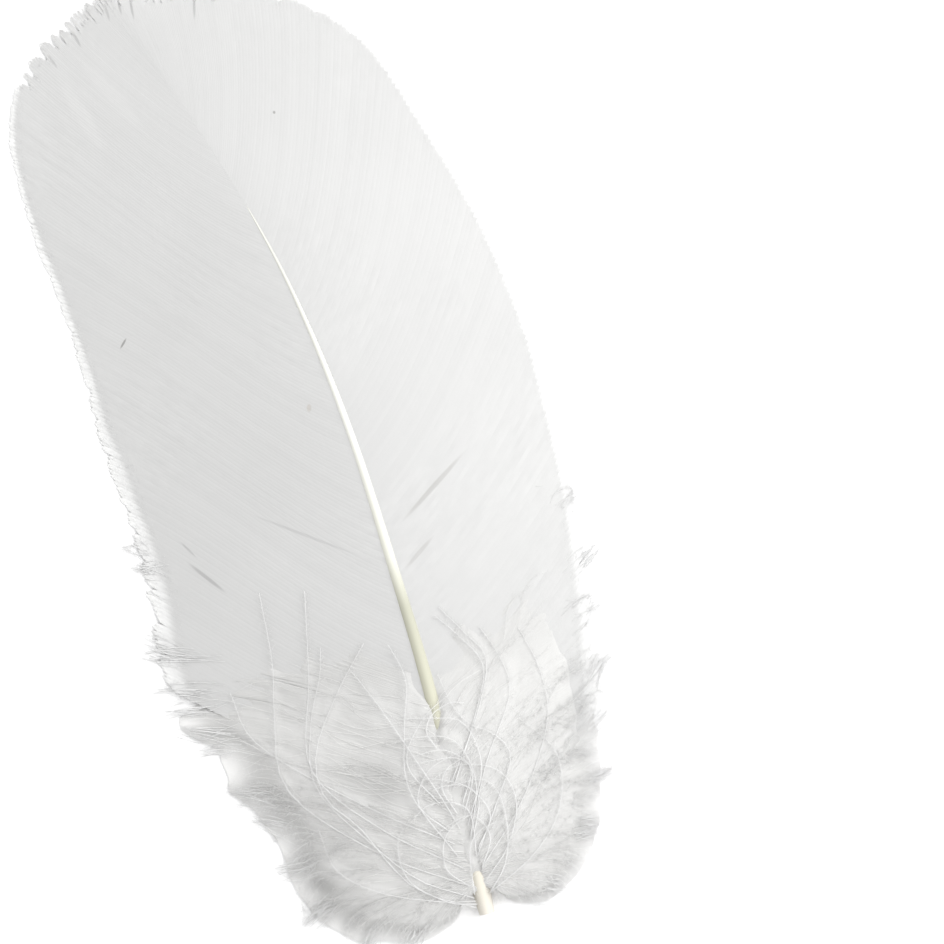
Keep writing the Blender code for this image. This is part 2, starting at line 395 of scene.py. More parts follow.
def makeVane(name, side):
    look = vanes[side]
    rng = np.random.default_rng(vanes["seed"] + side)
    roots, travel, alongs, outs, room = barbField(side, rng)
    openSplits(side, alongs, outs)
    count, rings = len(roots), vanes["rings"]
    clump, inClump = clumps(rng, count, *vanes["clump"])
    free = fromTable(look["free"], alongs)
    limit = halfWidth(alongs, side)
    last = fullLength + vanes["past"]
    ends = firstTrue(((outs >= limit) & (outs > 0.8)) | (alongs > last))
    where = alongs[np.arange(count), ends]
    own, shared = vanes["uneven"]
    short = np.abs(rng.normal(0, own, count) + rng.normal(0, shared, clump[-1] + 1)[clump])
    reach = travel[ends] - short * fromTable(look["ragged"], where)
    reach = reach - fromTable(look["notch"], where) * np.abs(inClump) ** 3
    closed = travel[firstTrue((outs >= limit - free) | (alongs > last - free))]
    closed = np.minimum(closed + rng.normal(0, vanes["closing"], count), reach - vanes["leastFree"])
    # three fifths of the rings lie before the finer part
    inner = rings * 3 // 5
    share = np.concatenate([np.linspace(0, vanes["finer"], inner, endpoint=False),
                            np.linspace(vanes["finer"], 1, rings + 1 - inner)])
    s = share * reach[:, None]
    along = np.array([np.interp(s[i], travel, alongs[i]) for i in range(count)])
    out = np.array([np.interp(s[i], travel, outs[i]) for i in range(count)])
    wide = np.array([np.interp(s[i], travel, room[i]) for i in range(count)])
    loose = np.clip((s - closed[:, None]) / np.maximum(reach - closed, vanes["leastFree"])[:, None], 0, 1)
    # loose tips lean together in their clumps
    mean, spread, own = vanes["gather"]
    lean = rng.normal(mean, spread, clump[-1] + 1)[clump] * inClump + rng.normal(0, own, count)
    lean = lean * fromTable(look["lean"], where)
    along = along - lean[:, None] * loose ** 1.3
    half = wide / 2 * vanes["overlap"] * (1 - vanes["taper"] * smoothStep(vanes["hold"], 1.0, loose))
    half = np.clip(half, *vanes["halfWidth"])
    x, y = planPoint(along, out * side)
    atTip, whole = vanes["lift"]
    lift = rng.normal(0, atTip, (count, 1)) * loose + rng.normal(0, whole, (count, 1))
    z = webHeight(along, out * side) + lift
    paths = np.stack([x, y, z], axis=-1)
    ahead = unit(np.gradient(paths, axis=1))
    level = unit(np.stack([-ahead[..., 1], ahead[..., 0]], axis=-1))
    # the slope of the vault across each barb, from a quarter of a millimetre to either side
    near = 0.25
    shaftX, shaftY = onShaft(shaftAhead[:, 0], along), onShaft(shaftAhead[:, 1], along)
    stepAlong = near * (level[..., 0] * shaftX + level[..., 1] * shaftY)
    stepOut = near * (level[..., 0] * shaftY - level[..., 1] * shaftX)
    upper = webHeight(along + stepAlong, out * side + stepOut)
    lower = webHeight(along - stepAlong, out * side - stepOut)
    roll = (upper - lower) / (2 * near) + rng.normal(0, vanes["twist"], (count, 1))
    thick = vanes["thickness"] * rng.uniform(*vanes["thickSpread"], (count, 1)) * np.ones_like(s)
    thick = np.minimum(thick + (vanes["looseThickness"] - thick) * loose, half * 1.2)
    # the margin is painted pale, for the light that comes through its thin barbs, by its distance from the
    # outline, so neighbours change together
    free = fromTable(look["free"], along)
    fade = np.clip((out - halfWidth(along, side) + free) / free, 0, 1)
    piece = sweep(name, paths, half, thick, rng.random(count), vanes["sides"], s, roll, fade, sharp=40)
    return piece, paths, s, closed, reach


# Barbules: short hairs down both sides of a barb.
hairs = {
    "width": 0.024,  # half the width at the root, in mm
    "lean": (58, 20),  # degrees from the barb's direction, mean and spread
    "curl": (0.25, 0.25),  # how far a tip curls on along the barb, as a share of the hair: mean and spread
    "stray": 0.16,  # and how far it strays in any direction
    "size": ((0, 0.6), (0.1, 1), (0.8, 1), (1, 0.6)),  # length by place on the barb
}


def makeHairs(name, paths, counts, sizes, rng, bent, tones, start=0.0, flat=0.3, width=1.0, crowd=1.0,
              fade=0.0, end=0.995):
    # counts[i] hairs on path i, from the start share to the end share; sizes is the least and the most
    # length; flat is how far they turn out of the level; crowd below 1 sets more of them towards the end
    rings = paths.shape[1] - 1
    owner = np.repeat(np.arange(len(paths)), counts)
    firstShare = np.broadcast_to(start, len(paths))[owner]
    t = firstShare + (end - firstShare) * rng.random(len(owner)) ** crowd
    at = t * rings
    low = np.minimum(at.astype(int), rings - 1)
    part = (at - low)[:, None]
    base = paths[owner, low] * (1 - part) + paths[owner, low + 1] * part
    ahead = unit(paths[owner, low + 1] - paths[owner, low])
    across = unit(np.cross(np.array([0, 0, 1.0]), ahead))
    up = np.cross(ahead, across)
    spin = rng.choice((0.0, math.pi), len(owner)) + rng.normal(0, flat, len(owner))
    outward = across * np.cos(spin)[:, None] + up * np.sin(spin)[:, None]
    lean = np.radians(rng.normal(*hairs["lean"], len(owner)))[:, None]
    first = unit(ahead * np.cos(lean) + outward * np.sin(lean))
    bend = ahead * rng.normal(*hairs["curl"], (len(owner), 1))
    bend = bend + rng.normal(0, hairs["stray"], (len(owner), 3))
    size = rng.uniform(*sizes, len(owner)) * fromTable(hairs["size"], t)
    side = unit(np.cross(first, np.array([0.3, 0.2, 1.0])))
    other = np.cross(first, side)
    piece, local = copies(name, prism(3, 2 if bent else 1, 0.0), len(owner))
    reach, wide, high = local[:, 0], local[:, 1], local[:, 2]
    points = base[:, None] + first[:, None] * (reach[:, None] * size[:, None, None])
    points = points + bend[:, None] * (reach[:, None] ** 2 * size[:, None, None])
    points = points + side[:, None] * (wide * hairs["width"] * width)[:, None]
    points = points + other[:, None] * (high * hairs["width"] * width)[:, None]
    place = np.stack([np.repeat(t[:, None], len(local), 1), np.tile(reach, (len(owner), 1)),
                      np.repeat(tones[owner][:, None], len(local), 1)], axis=-1)
    putPoints(piece, points, place, np.full(place.shape[:2], fade))
    return piece


# The down round the quill end. Outlines are plan points in mm, from the quill up to the vane's edge; each
# barb of it runs from the shaft to the outline. By share of the outline, tables give the direction it
# arrives in ("tips", degrees from +Y) and how far out the soft body reaches ("solid").
down = {
    "seed": 21,
    "rings": 20,
    -1: {
        "outline": ((-3.2, 3.0), (-4.6, 0.8), (-7.4, -0.6), (-12.8, -1.6), (-18, 0.2), (-23.4, 2.4),
                    (-26.8, 6.5), (-28.0, 10.5), (-28.4, 14), (-28.6, 18), (-29.0, 22), (-30.6, 27),
                    (-33.3, 31.6), (-33.4, 36), (-33.8, 39), (-37.0, 42), (-38.0, 45.4), (-34.2, 47.4),
                    (-37.6, 49.6), (-33.8, 51.8), (-38.2, 55.4), (-33.0, 57.8), (-34.6, 61), (-35.2, 64.4),
                    (-34.6, 68)),
        "tips": ((0, 178), (0.2, 165), (0.35, 120), (0.5, 100), (0.62, 84), (0.8, 72), (1, 60)),
        "solid": ((0, 0.95), (0.06, 0.94), (0.12, 0.89), (0.24, 0.89), (0.32, 0.93), (0.45, 0.94),
                  (0.6, 0.92), (1, 0.88)),
    },
    1: {
        "outline": ((2.8, 2.4), (5.0, -0.2), (10, -1.6), (15, 0), (18.8, 2.6), (21.5, 6.5), (23.8, 11),
                    (25.2, 15), (26.6, 20), (28, 26), (30, 32), (31.8, 38), (33.2, 44), (34.2, 50),
                    (35.0, 56), (35.2, 61)),
        "tips": ((0, 176), (0.2, 160), (0.35, 118), (0.5, 98), (0.62, 82), (0.8, 70), (1, 60)),
        "solid": ((0, 0.95), (0.5, 0.93), (1, 0.90)),
    },
    # where the barbs leave the shaft, and how they head there, by share of the outline
    "roots": ((0, 5.0), (0.1, 5.4), (0.3, 7.0), (0.45, 10), (0.6, 19), (0.75, 27), (0.9, 33), (1, 37)),
    "leave": ((0, 120), (0.15, 92), (0.3, 76), (0.5, 66), (0.7, 58), (1, 54)),
    # how unevenly they start and end, in mm, leave and arrive, in degrees, and how long their handles are
    "spread": {"roots": 0.4, "ends": 0.9, "leave": 7, "arrive": 18},
    "handles": (0.38, 0.30),
    "sway": 0.028,
    "swayWaves": (1.3, 2.9),  # along a barb
    # two layers of single barbs: how many, up to what share of the outline, how far they reach, how wild
    # and how high over the mound they are, then hairs per mm, where those begin, and how they crowd
    "outer": {"count": 70, "upTo": 0.7, "reach": (0.88, 1.03), "wild": 1.0, "over": (0.12, 0.4),
              "hairs": 7.0, "start": 0.45, "crowd": 0.7},
    "inner": {"count": 40, "upTo": 0.93, "reach": (0.4, 0.85), "wild": 1.3, "over": (0.15, 0.45),
              "hairs": 6.0, "start": 0.1, "crowd": 0.8},
    "thinner": (24, 36, 0.95),  # between these distances along the feather, hairs get fewer by this share
    "hairSize": (0.7, 1.9),
    "ribRadius": ((0, 0.032), (1, 0.012)),
    "strayRadius": ((0, 0.065), (1, 0.03)),
    "strayHairs": {"every": 7, "size": (0.7, 1.7)},
}


def bezier(first, second, third, fourth, t):
    t = t[None, :, None]
    return (first[:, None] * (1 - t) ** 3 + second[:, None] * 3 * t * (1 - t) ** 2
            + third[:, None] * 3 * t ** 2 * (1 - t) + fourth[:, None] * t ** 3)


def headed(degrees, side):
    # a plan direction so many degrees from +Y, turning outwards
    turn = np.radians(degrees)
    return np.stack([np.sin(turn) * side, np.cos(turn)], axis=-1)


def downPaths(rng, side, shares, reach, wild, layer, inset=0.5):
    # curves from the shaft to the outline; reach is a share of the whole way, wild how far they stray from
    # an even spread, and layer how high over the mound they run, in mm
    look = down[side]
    outline = smoothLine(look["outline"])
    gone = distances(outline)
    ends = np.stack([np.interp(shares * gone[-1], gone, outline[:, k]) for k in (0, 1)], axis=-1)
    spread = down["spread"]
    roots = fromTable(down["roots"], shares) + rng.normal(0, spread["roots"], len(shares)) * wild
    x, y = planPoint(roots, side * inset * shaftRadius(roots))
    start = np.stack([x, y], axis=-1)
    ends = start + (ends - start) * reach[:, None]
    ends = ends + rng.normal(0, spread["ends"], (len(shares), 2)) * wild
    size = np.linalg.norm(ends - start, axis=1)[:, None]
    leave = fromTable(down["leave"], shares) + rng.normal(0, spread["leave"], len(shares)) * wild
    arrive = fromTable(look["tips"], shares) + rng.normal(0, spread["arrive"], len(shares)) * wild
    t = np.linspace(0, 1, down["rings"] + 1)
    near, far = down["handles"]
    second, third = start + headed(leave, side) * size * near, ends - headed(arrive, side) * size * far
    flat = bezier(start, second, third, ends, t)
    ahead = unit(np.gradient(flat, axis=1))
    sway = 0
    for waves in down["swayWaves"]:
        phase = rng.uniform(0, 6.3, (len(shares), 1))
        swing = rng.normal(0, down["sway"] / waves, (len(shares), 1))
        sway = sway + swing * np.sin(t * waves * 2 * math.pi + phase)
    sway = (sway - sway[:, :1]) * size * wild
    flat = flat + np.stack([-ahead[..., 1], ahead[..., 0]], axis=-1) * sway[..., None]
    lift = layer[:, None] * np.sin(math.pi * np.clip(t * 0.9 + 0.1, 0, 1)) ** 0.5
    z = moundHeight(flat[..., 0], flat[..., 1]) + lift
    return np.concatenate([flat, z[..., None]], axis=-1)


def pathLengths(paths):
    return np.linalg.norm(np.diff(paths, axis=1), axis=2).sum(axis=1)


def travelled(paths):
    steps = np.linalg.norm(np.diff(paths, axis=1), axis=2)
    return np.concatenate([np.zeros((len(paths), 1)), np.cumsum(steps, axis=1)], axis=1)


# Single long barbs that lie over the rest: plan points in mm, how high over the vault they ride, and how
# broad the ridge of down along them is.
strays = (
    (((-1.2, 1.5), (-7.7, 6.1), (-10.9, 10.9), (-14, 19.3), (-17.4, 25), (-16.5, 32), (-10.5, 39.5),
      (-4.0, 45.5)), 1.5, 1.7),
    (((-1, 3), (-8, 8.5), (-13.5, 17), (-18.2, 27), (-16.0, 36), (-12.0, 43), (-10.5, 47)), 1.2, 1.5),
    (((-1, 5), (-13, 15), (-22.5, 28), (-20.6, 39.8), (-18.3, 47), (-16.6, 58)), 1.0, 1.0),
    (((-1, 8), (-11, 18), (-18, 30), (-13.7, 43.3), (-9.9, 56)), 1.0, 1.1),
    (((-1, 12), (-12, 22), (-24.5, 36), (-26.0, 45)), 0.9, 1.2),
    (((-1.2, 10), (-4.8, 22), (-2.5, 31), (0.2, 38), (-0.5, 44)), 1.9, 1.0),
    (((0.5, 14), (-0.5, 19), (-2.0, 24.8), (-3.6, 30.9), (-5.3, 36.7), (-7.2, 42)), 2.0, 0.9),
    (((1.5, 12), (5.2, 20), (4.2, 27), (-1.2, 29.4), (-6.4, 29.7)), 2.3, 1.0),
    (((1.8, 14), (6.8, 22), (6.4, 29), (2.3, 31.3), (-3.1, 32.9)), 2.4, 1.0),
    (((1.5, 9), (2.6, 16.5), (-2.6, 19.0), (-7.6, 16.5)), 2.6, 0.9),
    (((1.5, 3), (5.2, 6.5), (7.4, 11.7), (7.9, 17.1), (6.1, 20.1), (0.4, 20.7)), 2.6, 1.3),
    (((1.5, 5), (6.5, 9), (10, 15), (9, 20.5), (3.5, 23.3), (-2.6, 22)), 2.2, 1.4),
    (((1.5, 9), (8, 17), (11.5, 22), (10.1, 26.1), (7.2, 28.6), (5.6, 32.4), (5.1, 37.4)), 1.7, 1.3),
    (((1.5, 20), (8, 29), (12.0, 36), (10.2, 41.5), (7.6, 46)), 1.0, 0.7),
    (((1.5, 21), (8.6, 29.4), (12.8, 37), (11.0, 42), (8.6, 47)), 1.1, 0.7),
    (((1.5, 12), (7.5, 22), (14.5, 31), (14.8, 37), (13.5, 42)), 1.0, 1.4),
    (((1.5, 7), (11, 15), (18.5, 25), (20, 33), (19.0, 40)), 1.0, 1.4),
    (((1.5, 3), (10, 6.5), (16, 12), (18.2, 20), (14.5, 27)), 1.8, 1.5),
    (((-0.8, 3.5), (0.8, 10.2), (3.0, 12.6), (6.2, 13.2)), 2.8, 0.8),
    (((-0.9, 2), (-5, 3.8), (-9.5, 9), (-9.2, 15), (-6.0, 18)), 2.2, 1.3),
    (((-0.9, 2.5), (-6, 4.2), (-14, 8.4), (-19.5, 14), (-20, 21)), 1.6, 1.6),
    (((-1.1, 5), (-3.5, 9), (-1.5, 14), (4.5, 16)), 2.6, 1.2),
    (((1.6, 7), (4.5, 11.5), (2.5, 15.5), (-4.0, 14.2)), 2.4, 1.2),
    (((-1.1, 14), (-4.2, 19.5), (-1.0, 24.0), (5.0, 25.2)), 2.0, 1.2),
    (((1.9, 16), (5.2, 21.8), (2.2, 26.2), (-4.2, 26.8)), 2.2, 1.2),
    (((-0.9, 18), (-3.8, 26), (0.5, 31.5), (5.8, 34)), 1.6, 1.1),
    (((2.0, 10), (5.6, 14.6), (3.4, 20), (-2.6, 23.5)), 2.4, 1.2),
)


# Pointed wisps at the outline: the plan place of each tip and the wisp's size, in mm.
wisps = {
    -1: ((-34.2, 72.3, 2.6), (-34.8, 67.7, 3.2), (-37.1, 57.9, 5), (-38.0, 54.9, 7), (-38.2, 48.7, 7),
         (-37.5, 45.5, 6), (-36.5, 42.5, 6), (-34.4, 38.2, 5), (-32.6, 31.2, 5), (-29.8, 25.4, 4),
         (-29.2, 16.5, 4), (-27.4, 7.0, 4), (-21.0, 0.2, 3), (-13.5, -2.2, 3)),
    1: ((35.2, 57, 3), (35.0, 48, 4), (33.6, 40, 4), (31.6, 32, 4), (28.6, 23, 3), (26.0, 15, 3),
        (21.5, 6.5, 3), (13.0, -1.4, 3)),
    "strands": 11,
    "length": (0.9, 1.5),  # of a strand, as a share of the wisp's size
    "heading": (64, 8),  # degrees from +Y, mean and spread
    "turning": (24, 2.2),  # below this distance along the feather they turn outwards, degrees per mm
    "tips": (0.8, 0.16),  # how far apart the strands' tips lie, and how far they fall short
    "gather": 0.9,  # how far apart their roots lie
    "bow": 0.4,
    "radius": ((0, 0.02), (0.5, 0.06), (1, 0.012)),
    "hairs": 3.0,  # per mm
    "hairSize": (0.4, 1.0),
}


def wispPaths(rng, side):
    t = np.linspace(0, 1, down["rings"] + 1)
    paths = []
    for x, y, size in wisps[side]:
        below, rate = wisps["turning"]
        heading = math.radians(rng.normal(*wisps["heading"]) + max(0.0, below - y) * rate)
        ahead = np.array([math.sin(heading) * side, math.cos(heading)])
        across = np.array([ahead[1], -ahead[0]])
        for _ in range(wisps["strands"]):
            long = size * rng.uniform(*wisps["length"])
            apart, short = wisps["tips"]
            tip = np.array([x, y]) + across * rng.normal(0, apart)
            tip = tip - ahead * abs(rng.normal(0, short)) * size
            root = tip - ahead * (long + 0.8) + across * rng.normal(0, wisps["gather"])
            bow = across * rng.normal(0, wisps["bow"])
            flat = root + (tip - root) * t[:, None] + bow * np.sin(math.pi * t)[:, None]
            z = np.maximum(moundHeight(flat[:, 0], flat[:, 1]), 0.3) + 0.12 + rng.normal(0, 0.15) * t
            paths.append(np.column_stack([flat, z]))
    return np.array(paths)


# How high all of them ride over the mound, in mm.
strayLift = {"range": (0.3, 0.22), "wave": 0.05, "waves": 9}

# Shorter ones that curl across the quill, with ranges in mm.
crossing = {"count": 4, "start": (6, 30), "size": (3, 7), "bow": (3, 7), "rise": (0.5, 3.5), "over": 2.0,
            "broad": 1.2}


def crossingStrays(rng):
    made = []
    for _ in range(crossing["count"]):
        side = rng.choice((-1, 1))
        y = rng.uniform(*crossing["start"])
        x = 1.5 + 0.06 * y
        size = rng.uniform(*crossing["size"])
        bow = rng.uniform(*crossing["bow"])
        end = y + bow + rng.uniform(*crossing["rise"])
        points = ((side * 0.6 + x * 0.6, y), (x + side * 2.5, y + bow * 0.8),
                  (x + side * 1.0, y + bow + 1.5), (x - side * size * 0.5, y + bow + 2.4),
                  (x - side * size, end))
        made.append((points, crossing["over"], crossing["broad"]))
    return made


def strayPaths(rng, chosen):
    t = np.linspace(0, 1, down["rings"] + 1)
    paths = []
    for points, over, _ in chosen:
        line = smoothLine(points, 12)
        gone = distances(line)
        flat = np.stack([np.interp(t * gone[-1], gone, line[:, k]) for k in (0, 1)], axis=-1)
        ground = moundHeight(flat[:, 0], flat[:, 1])
        least, more = strayLift["range"]
        lift = least + over * more * np.sin(math.pi * np.clip(t * 0.86 + 0.07, 0, 1)) ** 0.6
        wave = strayLift["wave"] * np.sin(t * strayLift["waves"] + rng.uniform(0, 6.3))
        paths.append(np.column_stack([flat, ground + lift + wave]))
    return np.array(paths)


class Finish:
    # a material's nodes; each of their inputs is given a plain value or another node's output

    def __init__(self, name):
        self.material = bpy.data.materials.new(name)
        self.material.use_nodes = True
        self.tree = self.material.node_tree
        self.tree.nodes.clear()

    def node(self, kind, inputs, output=0, **settings):
        made = self.tree.nodes.new("ShaderNode" + kind)
        for key, value in settings.items():
            setattr(made, key, value)
        for slot, value in inputs.items():
            if isinstance(value, bpy.types.NodeSocket):
                self.tree.links.new(value, made.inputs[slot])
            else:
                made.inputs[slot].default_value = value
        return made.outputs[output]

    def maths(self, operation, *values):
        return self.node("Math", dict(enumerate(values)), operation=operation)

    def combine(self, *values):
        return self.node("CombineXYZ", dict(enumerate(values)))

    def noise(self, vector, scale, detail=2.0, roughness=0.5):
        inputs = {"Scale": scale, "Detail": detail, "Roughness": roughness, "Vector": vector}
        return self.node("TexNoise", inputs, "Fac")

    def uneven(self, vector, scale, detail=2.0):
        # noise about 0
        return self.maths("SUBTRACT", self.noise(vector, scale, detail), 0.5)

    def stretched(self, along, length, across, often):
        # coordinates for noise that is drawn out along the barbs
        return self.combine(self.maths("DIVIDE", along, length), self.maths("MULTIPLY", across, often), 0.0)

    def ramp(self, value, low, high, first=0.0, last=1.0):
        inputs = {"Value": value, "From Min": low, "From Max": high, "To Min": first, "To Max": last}
        return self.node("MapRange", inputs, "Result", interpolation_type="SMOOTHSTEP")

    def scaled(self, colour, by):
        return self.node("VectorMath", {0: colour, "Scale": by}, operation="SCALE")

    def mixed(self, first, last, share):
        return self.node("Mix", {"Factor": share, "A": first, "B": (*last, 1)}, "Result", data_type="RGBA")

    def barbs(self):
        # distances along and across each barb, its own tone, and how loose it is
        place = self.node("Attribute", {}, "Vector", attribute_name="barbPlace")
        along, across, tone = self.node("SeparateXYZ", {0: place}).node.outputs
        return along, across, tone, self.node("Attribute", {}, "Fac", attribute_name="barbLoose")

    def patch(self, where, place, turn, length, width, edge, strength):
        # a soft oval seen from above: strength inside, 0 outside
        inputs = {
            "Location": (quillEnd.x + place[0] * mm, quillEnd.y + place[1] * mm, 0),
            "Rotation": (0, 0, -math.radians(turn)),
            "Scale": (width * mm, length * mm, 1.0),
            "Vector": where,
        }
        spot = self.node("Mapping", inputs, vector_type="TEXTURE")
        far = self.node("VectorMath", {0: spot}, "Value", operation="LENGTH")
        return self.ramp(far, *edge, strength, 0.0)

    def bump(self, height, distance, strength):
        return self.node("Bump", {"Distance": distance * mm, "Strength": strength, "Height": height})

    def surface(self, colour, roughness, **more):
        return self.node("BsdfPrincipled", {"Base Color": colour, "Roughness": roughness, **more})

    def done(self, shader):
        output = self.tree.nodes.new("ShaderNodeOutputMaterial")
        self.tree.links.new(shader, output.inputs["Surface"])
        return self.material


# Small stains, painted shade and painted highlights on the vanes: plan place in mm, turn from the shaft's
# line in degrees, half length and half width in mm, how strong, and colour.
stainsShadeAndHighlights = (
    ((-23.8, 101.0), 50, 1.0, 0.20, 0.55, (0.16, 0.15, 0.14)),
    ((0.0, 82.1), 20, 0.7, 0.42, 0.30, (0.50, 0.44, 0.36)),
    ((9.8, 126.7), 0, 0.28, 0.24, 0.55, (0.22, 0.21, 0.20)),
    # shade inside the splits
    ((-23.5, 62.8), -33, 3.9, 0.34, 0.32, (0.22, 0.22, 0.22)),
    ((-24.8, 67.8), -27, 1.8, 0.20, 0.26, (0.24, 0.24, 0.24)),
    ((14.0, 64.6), 61, 7.4, 0.45, 0.38, (0.42, 0.41, 0.39)),
    ((8.6, 55.8), 60, 3.4, 0.40, 0.30, (0.42, 0.41, 0.39)),
    ((-7.1, 64.1), -50, 9.0, 0.26, 0.26, (0.40, 0.40, 0.40)),
    # painted shade in the notches where barbs part at the tip
    ((3.6, 146.5), 17, 2.4, 0.24, 0.36, (0.30, 0.30, 0.30)),
    ((-5.6, 149.4), 8, 2.2, 0.22, 0.38, (0.30, 0.30, 0.30)),
    ((-7.3, 150.4), 4, 1.8, 0.22, 0.38, (0.30, 0.30, 0.30)),
    ((-9.4, 150.0), 2, 1.6, 0.24, 0.30, (0.30, 0.30, 0.30)),
    ((-15.2, 147.6), -10, 1.6, 0.26, 0.34, (0.30, 0.30, 0.30)),
    ((-19.8, 145.6), -16, 1.5, 0.22, 0.28, (0.30, 0.30, 0.30)),
    # painted highlights: pale streaks beside them, where the vane folds
    ((-18.2, 136.4), -13, 7.6, 1.3, 0.15, (0.84, 0.84, 0.83)),
    ((-12.9, 137.8), -23, 8.4, 1.2, 0.12, (0.84, 0.84, 0.83)),
)

# Painted shade in the down: broad soft darkening where it lies thick, in its hollow and where it meets the
# vane, and one painted lighter patch. Plan place in mm, turn, half length and half width in mm, and by how
# much it darkens (below 0 lightens).
paintedShades = (
    ((-26.0, 11.0), -12, 24.0, 12.0, 0.10),
    ((-29.0, 30.0), 10, 12.0, 9.0, 0.10),
    ((-9.0, 25.0), 12, 9.0, 6.0, 0.12),
    ((-22.1, 12.0), 109, 3.5, 1.6, 0.20),
    ((8.0, 20.0), 10, 18.0, 10.0, -0.03),
    ((-14.0, 44.0), 0, 12.0, 26.0, 0.09),
    ((16.0, 46.0), 0, 12.0, 22.0, 0.06),
)

# Colours and lengths in mm. "pale" is the colour of what is loose, painted paler for the light that comes
# through it, reached at looseness "paleBy". "through" is the share of light that goes through. "lift" is
# how far normals are turned up where a barb is loose, or everywhere at "level". The rest is how uneven the
# brightness is.
looks = {
    "web": {
        "colour": (0.70, 0.70, 0.695), "pale": (0.86, 0.86, 0.855), "paleBy": 0.45, "through": 0.4,
        "roughness": 0.6, "barbTone": 0.022, "streak": 0.07, "blotch": 0.035, "lift": 2.0, "level": 0.0,
    },
    "body": {
        "colour": (0.715, 0.713, 0.702), "pale": (0.88, 0.878, 0.87), "paleBy": 1.2, "through": 0.35,
        "roughness": 0.8, "barbTone": 0.0, "streak": 0.10, "blotch": 0.06, "lift": 1.5, "level": 0.0,
    },
    "fluff": {
        "colour": (0.93, 0.926, 0.91), "pale": (0.96, 0.96, 0.955), "paleBy": 0.45, "through": 0.12,
        "roughness": 0.8, "barbTone": 0.06, "streak": 0.0, "blotch": 0.03, "lift": 2.5, "level": 1.0,
    },
    "wisp": {
        "colour": (0.83, 0.83, 0.825), "pale": (0.96, 0.96, 0.955), "paleBy": 0.45, "through": 0.15,
        "roughness": 0.8, "barbTone": 0.10, "streak": 0.0, "blotch": 0.03, "lift": 2.0, "level": 1.0,
    },
    "streaks": (4.0, 97.0),  # how long they are, and how different from barb to barb
    "patches": {"scale": 42.0, "edge": (0.48, 0.66), "range": (0.1, 1.0)},  # where they show
    "blotchScale": 30.0,
    "markEdge": (0.5, 1.1),
    "shadeEdge": (0.1, 1.2),
    "barbules": {"every": 0.16, "slant": 0.35, "relief": 0.003},
    "silk": {"drawn": (5.0, 160.0), "relief": 0.22},
    "bump": 0.5,
}


def featherMaterial(name):
    look = looks[name]
    finish = Finish(name)
    along, across, tone, loose = finish.barbs()
    where = finish.node("TexCoord", {}, "Object")
    # brightness: each barb its own, streaks along the barbs in patches, and broad soft blotches
    shift = finish.maths("MULTIPLY", finish.maths("SUBTRACT", tone, 0.5), look["barbTone"])
    length, often = looks["streaks"]
    streak = finish.uneven(finish.stretched(along, length, tone, often), 1.0, 3.0)
    patches = looks["patches"]
    spread = finish.ramp(finish.noise(where, patches["scale"], 1.0), *patches["edge"], *patches["range"])
    streak = finish.maths("MULTIPLY", finish.maths("MULTIPLY", streak, spread), look["streak"] * 2)
    shift = finish.maths("ADD", shift, streak)
    blotch = finish.maths("MULTIPLY", finish.uneven(where, looks["blotchScale"]), look["blotch"] * 2)
    shift = finish.maths("ADD", shift, blotch)
    colour = finish.scaled(look["colour"], finish.maths("ADD", shift, 1.0))
    if name == "web":
        # small stains, painted shade in the splits and notches, and painted highlights beside them
        for place, turn, length, width, strength, dark in stainsShadeAndHighlights:
            spot = finish.patch(where, place, turn, length, width, looks["markEdge"], strength)
            colour = finish.mixed(colour, dark, spot)
        # barbules: fine ridges that slant back from the middle of each barb
        made = looks["barbules"]
        back = finish.maths("MULTIPLY", finish.maths("ABSOLUTE", across), made["slant"])
        turns = finish.maths("MULTIPLY", finish.maths("ADD", along, back), 2 * math.pi / made["every"])
        relief = finish.maths("SINE", turns)
    else:
        # painted shade where the down lies thick, in its hollow and where it meets the vane, and a painted
        # lighter patch
        for place, turn, length, width, strength in paintedShades:
            spot = finish.patch(where, place, turn, length, width, looks["shadeEdge"], strength)
            colour = finish.scaled(colour, finish.maths("SUBTRACT", 1.0, spot))
        made = looks["silk"]
        length, often = made["drawn"]
        relief = finish.noise(finish.stretched(along, length, tone, often), 1.0, 4.0, 0.6)
    bump = finish.bump(relief, made["relief"], looks["bump"])
    # thin hairs and loose ends scatter light much like a level surface, so their normals lean upwards
    upward = finish.maths("MULTIPLY", finish.maths("MAXIMUM", loose, look["level"]), look["lift"])
    raised = {0: finish.combine(0.0, 0.0, upward), 1: (1, 1, 1), 2: bump}
    raised = finish.node("VectorMath", raised, operation="MULTIPLY_ADD")
    normal = finish.node("VectorMath", {0: raised}, operation="NORMALIZE")
    # loose ends are thinner, and painted paler for the light that comes through them
    colour = finish.mixed(colour, look["pale"], finish.ramp(loose, 0.0, look["paleBy"]))
    shader = finish.surface(colour, look["roughness"], Normal=normal)
    glow = finish.node("BsdfTranslucent", {"Color": colour})
    return finish.done(finish.node("MixShader", {0: look["through"], 1: shader, 2: glow}))


# Horn: colour by distance from the quill end in mm.
hornLook = {
    "colours": ((0, (0.60, 0.57, 0.51)), (12, (0.52, 0.50, 0.42)), (32, (0.47, 0.465, 0.37)),
                (49, (0.40, 0.40, 0.325)), (57, (0.59, 0.59, 0.525)), (80, (0.65, 0.65, 0.605)),
                (105, (0.53, 0.53, 0.49)), (140, (0.52, 0.52, 0.49))),
    "roughness": 0.65,
    "fibre": 0.06,
    "fibres": (6.0, 5.0),  # how long they are in mm, and how often they change across the shaft
    "crownHighlight": {"place": 0.15, "edge": (0.1, 0.6), "range": (0.05, -0.02)},  # right of the middle, in radii
    "bump": (0.01, 0.4),
}


